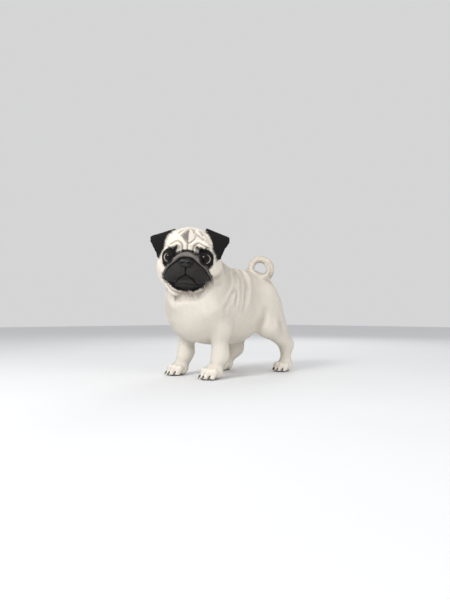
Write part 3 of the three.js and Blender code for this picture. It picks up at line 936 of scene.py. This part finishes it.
def markings(p, where, shade):
    local = where["local"]
    x, z = np.abs(local[:, 0]), local[:, 2]
    wobble = ragged(p, 3.2)
    ahead = smoothstep(-12, -28, local[:, 1]) * smoothstep(0.02, 0.2, where["head"]) * (1 - where["ears"])
    back = smoothstep(180, 290, p[:, 2]) * (1 - where["head"])
    # The back is a darker fawn and the tone wanders at random. The grooves of the face's folds are also
    # darkened towards the warm fawn, as painted shade.
    warm_tone_and_fold_shade = 0.22 * back + 0.06 * ragged(p, 26) + 0.3 * shade
    colour = PALE + (WARM - PALE) * np.clip(warm_tone_and_fold_shade, 0, 1)[:, None]
    # How far into a face or body fold a point lies, as a share of painted shade.
    in_fold = np.maximum(0.62 * shade, 0.6 * body_folds(p, where)[1])

    def paint(shown, share, to):
        return shown + (to - shown) * np.clip(share, 0, 1)[:, None]

    # The grooves of the face and body folds are painted darker, as painted shade with some of the darker hair
    # of real creases. The crease under the chin roll gets a painted shadow.
    colour = paint(colour, np.maximum(in_fold, 0.55 * where["crease"] * (1 - where["ears"])), CREASE_PIGMENT_AND_SHADE)
    thumb = 15 - np.abs(local[:, 0] - 1) - np.abs(z - 47)
    half = np.where(local[:, 0] < 1, 0.95, 0.15)
    colour = paint(colour, half * smoothstep(-1.5, 2, thumb + wobble) * ahead, GREY)
    outer = np.interp(x, [0, 12, 24, 43, 55, 62], [19, 17, 9.5, -15, -39, -61])
    inner = np.interp(x, [0, 12, 20, 38, 51, 58], [3, 2, -5, -20, -42, -62])
    under = np.interp(x, [0, 18, 34, 48, 58], [-74, -72, -64, -54, -48])
    over_chin = smoothstep(-2, 2, z - under + 1.5 * wobble)
    colour = paint(colour, smoothstep(-2, 1.5, outer - z + wobble) * over_chin * ahead, GREY)
    patch = 1 - smoothstep(-2.5, 2.5, eye_patch(np.column_stack([x, local[:, 1:]])) + 1.6 * wobble)
    above_fold = smoothstep(-1, 2.5, z - outer)
    colour = paint(colour, patch * ahead * above_fold, BLACK)
    colour = paint(colour, smoothstep(-1.5, 2, inner - z + wobble) * over_chin * ahead, SOOT)
    lower_lip = smoothstep(-56, -60, z + 0.1 * x) * over_chin
    colour = paint(colour, lower_lip * ahead, BLACK)
    # The grooves of the face's folds inside the mask are painted black, as painted shade.
    colour = paint(colour, shade * smoothstep(-1, 2, outer - z) * over_chin * ahead, BLACK)
    lids = np.minimum(opening(local, 1), opening(local, -1))
    colour = paint(colour, 1 - smoothstep(1.3, 1.8, lids), BLACK)
    colour = paint(colour, where["ears"], BLACK * 1.2)
    return paint(colour, (1 - smoothstep(1.5, 4, p[:, 2])) * 0.9, SOOT)


def give_colours(mesh, colours):
    layer = mesh.attributes.new("coat_colour", "FLOAT_COLOR", "POINT")
    layer.data.foreach_set("color", np.column_stack([colours, np.ones(len(colours))]).ravel())


where = regions(skin_at)
shade = face_folds(where["local"])[1]
skin_colours = markings(skin_at, where, shade)
give_colours(skin_mesh, skin_colours)
print("skin colours", skin_colours.min(axis=0).round(3), skin_colours.max(axis=0).round(3))

# %% [markdown]
# ## Finishes
# A material is a small graph of nodes. One class holds a material and makes its nodes, and another
# wraps a socket so that sums of sockets and numbers can be written as plain Python.


# %% A material that is written as sums
class Sum:
    """A socket of a material that can stand in a sum."""

    def __init__(self, finish, socket):
        self.finish = finish
        self.socket = socket

    def math(self, operation, first, second):
        return self.finish.node("ShaderNodeMath", {"operation": operation}, {0: first, 1: second})

    def __add__(self, other):
        return self.math("ADD", self, other)

    def __rsub__(self, other):
        return self.math("SUBTRACT", other, self)

    def __mul__(self, other):
        return self.math("MULTIPLY", self, other)

    __radd__ = __add__
    __rmul__ = __mul__


class Finish:
    """A Principled material. Constants are set on the shader's own sockets."""

    def __init__(self, name, constants):
        self.material = bpy.data.materials.new(name)
        self.material.use_nodes = True
        self.tree = self.material.node_tree
        self.shader = self.tree.nodes["Principled BSDF"]
        for socket, value in constants.items():
            self.shader.inputs[socket].default_value = value

    def node(self, kind, settings, sockets, output=0):
        made = self.tree.nodes.new(kind)
        for key, value in settings.items():
            setattr(made, key, value)
        for key, value in sockets.items():
            self.put(made.inputs[key], value)
        return Sum(self, made.outputs[output])

    def put(self, socket, value):
        if isinstance(value, Sum):
            self.tree.links.new(value.socket, socket)
        else:
            socket.default_value = value

    def surface(self, socket, value):
        self.put(self.shader.inputs[socket], value)

    def place(self):
        return self.node("ShaderNodeTexCoord", {}, {}, "Object")

    def attribute(self, name, output):
        return self.node("ShaderNodeAttribute", {"attribute_name": name}, {}, output)

    def noise(self, scale, detail=2.0):
        return self.node("ShaderNodeTexNoise", {}, {"Vector": self.place(), "Scale": scale, "Detail": detail})

    def mixed(self, share, first, second, blend_type="MIX"):
        settings = {"data_type": "RGBA", "blend_type": blend_type}
        return self.node("ShaderNodeMix", settings, {0: share, 6: first, 7: second}, 2)

    def smooth(self, value, low, high):
        settings = {"interpolation_type": "SMOOTHSTEP"}
        return self.node("ShaderNodeMapRange", settings, {"Value": value, "From Min": low, "From Max": high})

    def bump(self, height, strength, distance):
        sockets = {"Height": height, "Strength": strength, "Distance": distance}
        return self.node("ShaderNodeBump", {}, sockets)


# %% [markdown]
# ## Coat and skin finish
# Short hair is soft and scatters light, so it is rough with a little sheen. Its colour comes from the
# markings, and a fine noise parts it into hairs and small shadows.

# %% Coat finishes
coat_constants = {"Roughness": 0.8, "Sheen Weight": 0.03, "Sheen Roughness": 0.5, "Specular IOR Level": 0.15}
skin_finish = Finish("short_coat_on_skin", coat_constants)
marked = skin_finish.attribute("coat_colour", "Color")
hairs = skin_finish.noise(520.0, 3.0)
streak = 0.82 + hairs * 0.36
grey = skin_finish.node("ShaderNodeCombineColor", {}, {0: streak, 1: streak, 2: streak})
skin_finish.surface("Base Color", skin_finish.mixed(1.0, marked, grey, "MULTIPLY"))
skin_finish.surface("Normal", skin_finish.bump(hairs, 0.45, 0.0007))
skin_mesh.materials.append(skin_finish.material)

tuft_finish = Finish("coat_tufts", coat_constants)
tuft_finish.surface("Base Color", tuft_finish.attribute("coat_colour", "Color"))

leather = Finish("nose_leather", {"Base Color": (0.006, 0.0055, 0.0055, 1), "Coat Weight": 0.12})
pebbles = leather.node(
    "ShaderNodeTexVoronoi", {"feature": "SMOOTH_F1"},
    {"Vector": leather.place(), "Scale": 950.0, "Smoothness": 0.4},
)
leather.surface("Roughness", 0.36 + pebbles * 0.25)
leather.surface("Normal", leather.bump(1.0 - pebbles, 0.4, 0.0004))
nose_leather.data.materials.append(leather.material)

horn = Finish("claw_horn", {"Coat Weight": 0.2, "Roughness": 0.38})
grain = horn.noise(240.0, 3.0)
horn.surface("Base Color", horn.mixed(grain, (0.010, 0.009, 0.008, 1), (0.05, 0.042, 0.036, 1)))
horn.surface("Normal", horn.bump(grain, 0.3, 0.0003))
claws.data.materials.append(horn.material)

# %% [markdown]
# ## Eye finish
# The eye's own plane gives how far a place is from the middle of the pupil. Rings of colour follow from
# that: a black pupil, a brown iris with fine spokes and a dark edge, and a rim of white.

# %% Eye finish
wet = Finish("wet_eye", {"Roughness": 0.04, "IOR": 1.38, "Specular IOR Level": 0.4})
plane = wet.attribute("eye_plane", "Vector")
flat = wet.node("ShaderNodeVectorMath", {"operation": "MULTIPLY"}, {0: plane, 1: (1.0, 1.0, 0.0)})
away = wet.node("ShaderNodeVectorMath", {"operation": "LENGTH"}, {0: flat}, "Value")
spokes = wet.node("ShaderNodeTexNoise", {}, {"Vector": plane, "Scale": 9.0, "Detail": 4.0})
iris = wet.mixed(spokes, (0.006, 0.0025, 0.0012, 1), (0.026, 0.010, 0.004, 1))
iris = wet.mixed(wet.smooth(away, 0.60, 0.70), iris, (0.002, 0.0012, 0.001, 1))
white = wet.mixed(wet.smooth(away, 0.72, 0.755), iris, (0.42, 0.37, 0.33, 1))
shown = wet.mixed(wet.smooth(away, 0.40, 0.45), (0.0006, 0.0006, 0.0006, 1), white)
wet.surface("Base Color", shown)
for eye in eyes:
    eye.data.materials.append(wet.material)

plaster = Finish("pale_floor", {"Roughness": 0.85})
cloud = plaster.noise(3.0, 2.0)
plaster.surface("Base Color", plaster.mixed(cloud, (0.70, 0.705, 0.71, 1), (0.74, 0.745, 0.75, 1)))

# %% Finish the skin object
skin = mesh_object("skin", skin_mesh)
skin_mesh.shade_smooth()
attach(skin, "root")
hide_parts(*FLESH)

# %% [markdown]
# ## The lie of the coat
# Hair lies from the nose back over the head, from the neck to the rump along the back, down the sides
# and legs, out along the toes, and from root to tip on the ears and the tail.


# %% Which way the hair lies
def lie_of_coat(p, normal, where):
    def towards(start, to, share):
        return start + (np.asarray(to, float) - start) * share[:, None]

    side = np.abs(normal[:, 0])
    lie = np.column_stack([np.zeros(len(p)), np.ones(len(p)), -0.15 - 0.6 * side])
    breast = smoothstep(-85, -135, p[:, 1]) * (1 - where["legs"])
    lie = towards(lie, [0, -0.1, -1], breast)
    from_skull = p - HEAD_CENTRE
    from_skull /= np.linalg.norm(from_skull, axis=1)[:, None]
    neck = smoothstep(150, 90, np.linalg.norm(p - HEAD_CENTRE, axis=1)) * (1 - where["head"])
    lie = towards(lie, from_skull, 0.7 * neck)
    lie = towards(lie, [0, 0.3, -1], where["legs"])
    lie = towards(lie, [0, -1, -0.45], where["paws"])
    outward = where["local"] - [0, -88, -8]
    outward /= np.linalg.norm(outward, axis=1)[:, None]
    lie = towards(lie, outward @ head_turn.T, where["head"])
    flap = ear_along[where["ear_which"]] * np.where(where["local"][:, :1] < 0, [[-1, 1, 1]], [[1, 1, 1]])
    lie = towards(lie, flap @ head_turn.T, where["ears"])
    tail_near = nearest_on(tail_places, p)[0]
    lie = towards(lie, tail_along[tail_near], where["tail"])
    lie -= normal * (lie * normal).sum(axis=1)[:, None]
    return lie / np.maximum(np.linalg.norm(lie, axis=1), 1e-6)[:, None]


# %% [markdown]
# ## Roots of the tufts
# The skin is unwrapped, and roots are spread over its triangles by area times the density wanted there.
# Each root takes its place, its normal, its markings and its place on the unwrap from the skin.


# %% Unwrap the skin and spread the roots
skin_mesh.uv_layers.new(name="OFBake")
bpy.context.view_layer.objects.active = skin
skin.select_set(True)
bpy.ops.object.mode_set(mode="EDIT")
bpy.ops.mesh.select_all(action="SELECT")
bpy.ops.uv.smart_project(angle_limit=math.radians(60), island_margin=0.003)
bpy.ops.object.mode_set(mode="OBJECT")
skin.select_set(False)

skin_mesh.calc_loop_triangles()
triangle_count = len(skin_mesh.loop_triangles)
corners = np.zeros(triangle_count * 3, int)
skin_mesh.loop_triangles.foreach_get("vertices", corners)
corners = corners.reshape(-1, 3)
loops = np.zeros(triangle_count * 3, int)
skin_mesh.loop_triangles.foreach_get("loops", loops)
loops = loops.reshape(-1, 3)
unwrap = np.zeros(len(skin_mesh.loops) * 2)
skin_mesh.uv_layers["OFBake"].data.foreach_get("uv", unwrap)
unwrap = unwrap.reshape(-1, 2)
skin_normals = normals_of(skin_mesh)
corner_at = skin_at[corners]
areas = np.cross(corner_at[:, 1] - corner_at[:, 0], corner_at[:, 2] - corner_at[:, 0])
areas = np.linalg.norm(areas, axis=1) / 2
LID_EDGE = 1.4  # no tuft grows where an eye's opening measures less than this
by_lid = np.minimum(opening(where["local"], 1), opening(where["local"], -1))
bald = (by_lid < LID_EDGE) | (skin_at[:, 2] < 1.5)
bald |= np.linalg.norm((where["local"] - NOSE_PLACE) / (NOSE_SIZE + 0.5), axis=1) < 1
print("skin area in square metres", round(areas.sum() * 1e-6, 4), "triangles", triangle_count)


def by_region(where, trunk, legs, head, face, paws, ears, tail):
    value = mix(trunk, legs, where["legs"])
    value = mix(value, head, where["head"])
    value = mix(value, face, where["face"] * where["head"])
    value = mix(value, paws, where["paws"])
    value = mix(value, ears, where["ears"])
    return mix(value, tail, where["tail"])


# Tufts on each square millimetre of the trunk, legs, head, face, paws, ears and tail.
TUFT_DENSITY = (0.80, 0.80, 0.95, 1.9, 1.0, 1.1, 0.55)
density = by_region(where, *TUFT_DENSITY) * ~bald
wanted = areas * density[corners].mean(axis=1)
total = int(wanted.sum())
upto = np.cumsum(wanted)
spots = (np.arange(total) + chance.random(total)) * (upto[-1] / total)
chosen = np.minimum(np.searchsorted(upto, spots), triangle_count - 1)
weights = chance.dirichlet([1.0, 1.0, 1.0], total)
roots = (corner_at[chosen] * weights[:, :, None]).sum(axis=1)
root_normals = (skin_normals[corners[chosen]] * weights[:, :, None]).sum(axis=1)
root_normals /= np.linalg.norm(root_normals, axis=1)[:, None]
root_unwrap = (unwrap[loops[chosen]] * weights[:, :, None]).sum(axis=1)
root_colours = (skin_colours[corners[chosen]] * weights[:, :, None]).sum(axis=1)
root_where = {key: value[corners[chosen, 0]] for key, value in where.items()}
print("tufts", total)

# %% [markdown]
# ## Tufts
# A tuft is a thin three-sided blade that lies down along the coat. Its tip is set just over the nearest
# skin, so that the coat follows every crease. All the tufts of a region are joined into one mesh
# straight from arrays. Each shades mostly like the skin under it, so that the coat reads as one soft
# surface and not as scales.

# %% Tufts as joined meshes
BENT = {"rings": 2, "faces": [
    (0, 1, 2), (0, 3, 4), (0, 4, 1), (1, 4, 5), (1, 5, 2), (2, 5, 3), (2, 3, 0),
    (3, 6, 4), (4, 6, 5), (5, 6, 3),
]}
STRAIGHT = {"rings": 1, "faces": [(0, 1, 2), (0, 3, 1), (1, 3, 2), (2, 3, 0)]}
# Millimetres on the trunk, legs, head, face, paws, ears and tail.
TUFT_LENGTH = (6.8, 5.4, 4.0, 2.2, 3.6, 3.6, 9.0)
TUFT_WIDTH = (0.80, 0.72, 0.62, 0.42, 0.55, 0.5, 0.9)
TUFT_RISE = (0.48, 0.42, 0.36, 0.24, 0.34, 0.2, 0.8)
ROOT_DEPTH = 0.12
PATCH = 0.003
skin_tree = BVHTree.FromObject(skin, bpy.context.evaluated_depsgraph_get())


def over_skin(p, height):
    """Each point moved to that height over the nearest skin, so that no hair leaves or enters it."""
    found = [skin_tree.find_nearest(place)[:2] for place in to_world(p).tolist()]
    nearest = np.array([place[:] for place, normal in found])
    normals = np.array([normal[:] for place, normal in found])
    return to_part(nearest) + normals * height


def tuft_sizes(root, local_where):
    """Length, width and rise. Tufts are short by lids, creases and ears and at the tail's bend."""
    count = len(root)
    length = by_region(local_where, *TUFT_LENGTH) * chance.uniform(0.7, 1.25, count)
    width = by_region(local_where, *TUFT_WIDTH) * chance.uniform(0.8, 1.2, count)
    rise = by_region(local_where, *TUFT_RISE) * chance.uniform(0.4, 1.5, count)
    by_lid = np.minimum(opening(local_where["local"], 1), opening(local_where["local"], -1))
    length *= (0.5 + 0.5 * smoothstep(LID_EDGE, 2.6, by_lid)) * (1 - 0.5 * local_where["crease"])
    length *= 1 - 0.45 * local_where["face"] * (1 - local_where["head"])
    at_bend = smoothstep(24, 12, np.linalg.norm(root - TAIL_BEND, axis=1))
    length *= 1 - 0.55 * at_bend
    rise *= 1 - 0.7 * at_bend
    beside_ear = smoothstep(40, 50, np.abs(local_where["local"][:, 0])) * local_where["head"]
    length *= 1 - 0.5 * beside_ear * smoothstep(-15, 5, local_where["local"][:, 2])
    return length[:, None], width[:, None], rise[:, None]


def make_tufts(name, pick, shape):
    count = len(pick)
    root, normal, local_where = roots[pick], root_normals[pick], {k: v[pick] for k, v in root_where.items()}
    lie = lie_of_coat(root, normal, local_where)
    lie += np.cross(lie, normal) * chance.normal(0, 0.16, (count, 1))
    lie /= np.linalg.norm(lie, axis=1)[:, None]
    across = np.cross(lie, normal)
    length, width, rise = tuft_sizes(root, local_where)
    low = root - normal * ROOT_DEPTH
    tip = over_skin(root + lie * length, rise)
    strayed = ((tip - root) * lie).sum(axis=1)[:, None] < 0.8 * length
    strayed |= np.abs(((tip - root) * normal).sum(axis=1)[:, None]) > 0.35 * length + 0.4
    tip = np.where(strayed, root + lie * 0.5 * length + normal * 0.15, tip)
    ring = [low - across * width / 2, low + across * width / 2, low + normal * width * 0.16]
    if shape["rings"] == 2:
        slim = width * 0.42
        middle = over_skin(root + lie * length * 0.5, rise * 0.6)
        ring += [middle - across * slim, middle + across * slim, middle + normal * slim * 0.3]
    parts = np.stack([*ring, tip], axis=1)
    each = parts.shape[1]
    parts[:, :, 2] = np.maximum(parts[:, :, 2], 0.05)
    faces = np.array(shape["faces"])
    index = (np.arange(count)[:, None, None] * each + faces[None]).reshape(-1, 3)
    mesh = bpy.data.meshes.new(name)
    mesh.vertices.add(count * each)
    mesh.vertices.foreach_set("co", to_world(parts.reshape(-1, 3)).ravel())
    mesh.loops.add(len(index) * 3)
    mesh.loops.foreach_set("vertex_index", index.ravel().astype(np.int32))
    mesh.polygons.add(len(index))
    mesh.polygons.foreach_set("loop_start", np.arange(0, len(index) * 3, 3, dtype=np.int32))
    mesh.update(calc_edges=True)
    tint = root_colours[pick] * chance.uniform(0.93, 1.07, (count, 1))
    # Each tuft's colour steps from darker at the root to a little lighter at the tip, as painted shade near
    # the skin.
    steps = [0.94, 0.94, 0.97, 1.0, 1.0, 1.0, 1.04] if each == 7 else [0.94, 0.94, 0.97, 1.04]
    give_colours(mesh, (tint[:, None] * np.array(steps)[None, :, None]).reshape(-1, 3))
    offsets = np.array([[0, 0], [1, 0], [0.5, 0.2], [0, 0.5], [1, 0.5], [0.5, 0.6], [0.5, 1]])
    offsets = offsets if each == 7 else offsets[[0, 1, 2, 6]]
    spread = root_unwrap[pick][:, None] + (offsets[None] - 0.5) * PATCH
    mesh.uv_layers.new(name="OFBake")
    mesh.uv_layers["OFBake"].data.foreach_set("uv", spread.reshape(-1, 2)[index.ravel()].ravel())
    mesh.shade_smooth()
    aside = np.array([-1, 1, 0, -1, 1, 0, 0]) if each == 7 else np.array([-1, 1, 0, 0])
    shading = normal[:, None] + across[:, None] * (0.15 * aside)[None, :, None]
    shading /= np.linalg.norm(shading, axis=2)[:, :, None]
    mesh.normals_split_custom_set_from_vertices(shading.reshape(-1, 3).tolist())
    mesh.materials.append(tuft_finish.material)
    made = mesh_object(name, mesh)
    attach(made, "root")
    print(name, count, "tufts", len(index), "triangles")
    return made


on_head = (root_where["head"] > 0.5) & (root_where["ears"] < 0.5)
on_ears = root_where["ears"] >= 0.5
on_tail = (root_where["tail"] > 0.5) & ~on_ears
on_body = ~(on_head | on_ears | on_tail)
low_down = root_where["legs"] > 0.6
on_face = root_where["face"] > 0.3
ahead = roots[:, 1] < 0
left = roots[:, 0] > 0
for name, group, shape in [
    ("coat_face", on_head & on_face, STRAIGHT),
    ("coat_head", on_head & ~on_face, STRAIGHT),
    ("coat_ears", on_ears, STRAIGHT),
    ("coat_front_left", on_body & ~low_down & ahead & left, STRAIGHT),
    ("coat_front_right", on_body & ~low_down & ahead & ~left, STRAIGHT),
    ("coat_rear_left", on_body & ~low_down & ~ahead & left, STRAIGHT),
    ("coat_rear_right", on_body & ~low_down & ~ahead & ~left, STRAIGHT),
    ("coat_forelegs", on_body & low_down & ahead, STRAIGHT),
    ("coat_hindlegs", on_body & low_down & ~ahead, STRAIGHT),
    ("coat_tail", on_tail, BENT),
]:
    make_tufts(name, np.nonzero(group)[0], shape)

# %% [markdown]
# ## The floor and the light
# A plain pale floor, a large soft light up on the left of the camera, which also makes the glint in
# the eyes, a weaker one on the right and one behind for the edge of the back.

# %% Floor and lights
bm = bmesh.new()
bmesh.ops.create_grid(bm, x_segments=1, y_segments=1, size=6)
floor_mesh = bpy.data.meshes.new("floor")
bm.to_mesh(floor_mesh)
bm.free()
floor = mesh_object("floor", floor_mesh)
floor_mesh.materials.append(plaster.material)


def add_light(name, place, size, power):
    data = bpy.data.lights.new(name, "AREA")
    data.shape = "DISK"
    data.size = size
    data.energy = power
    lamp = bpy.data.objects.new(name, data)
    lamp.location = place
    aim = Vector((0.0, -0.02, 0.16)) - lamp.location
    lamp.rotation_euler = aim.to_track_quat("-Z", "Y").to_euler()
    bpy.context.scene.collection.objects.link(lamp)
    # Only the key light makes a glint in the eyes.
    lamp.visible_glossy = name == "key"


bpy.context.scene.view_settings.view_transform = "Standard"
add_light("key", (0.15, -1.5, 1.35), 0.7, 22)
add_light("fill", (1.7, -0.1, 0.8), 1.4, 8)
add_light("rim", (-0.9, 1.4, 1.3), 0.9, 9)
world = bpy.data.worlds.new("studio")
bpy.context.scene.world = world
world.use_nodes = True
world.node_tree.nodes["Background"].inputs["Color"].default_value = (0.9, 0.9, 0.91, 1)
world.node_tree.nodes["Background"].inputs["Strength"].default_value = 0.74
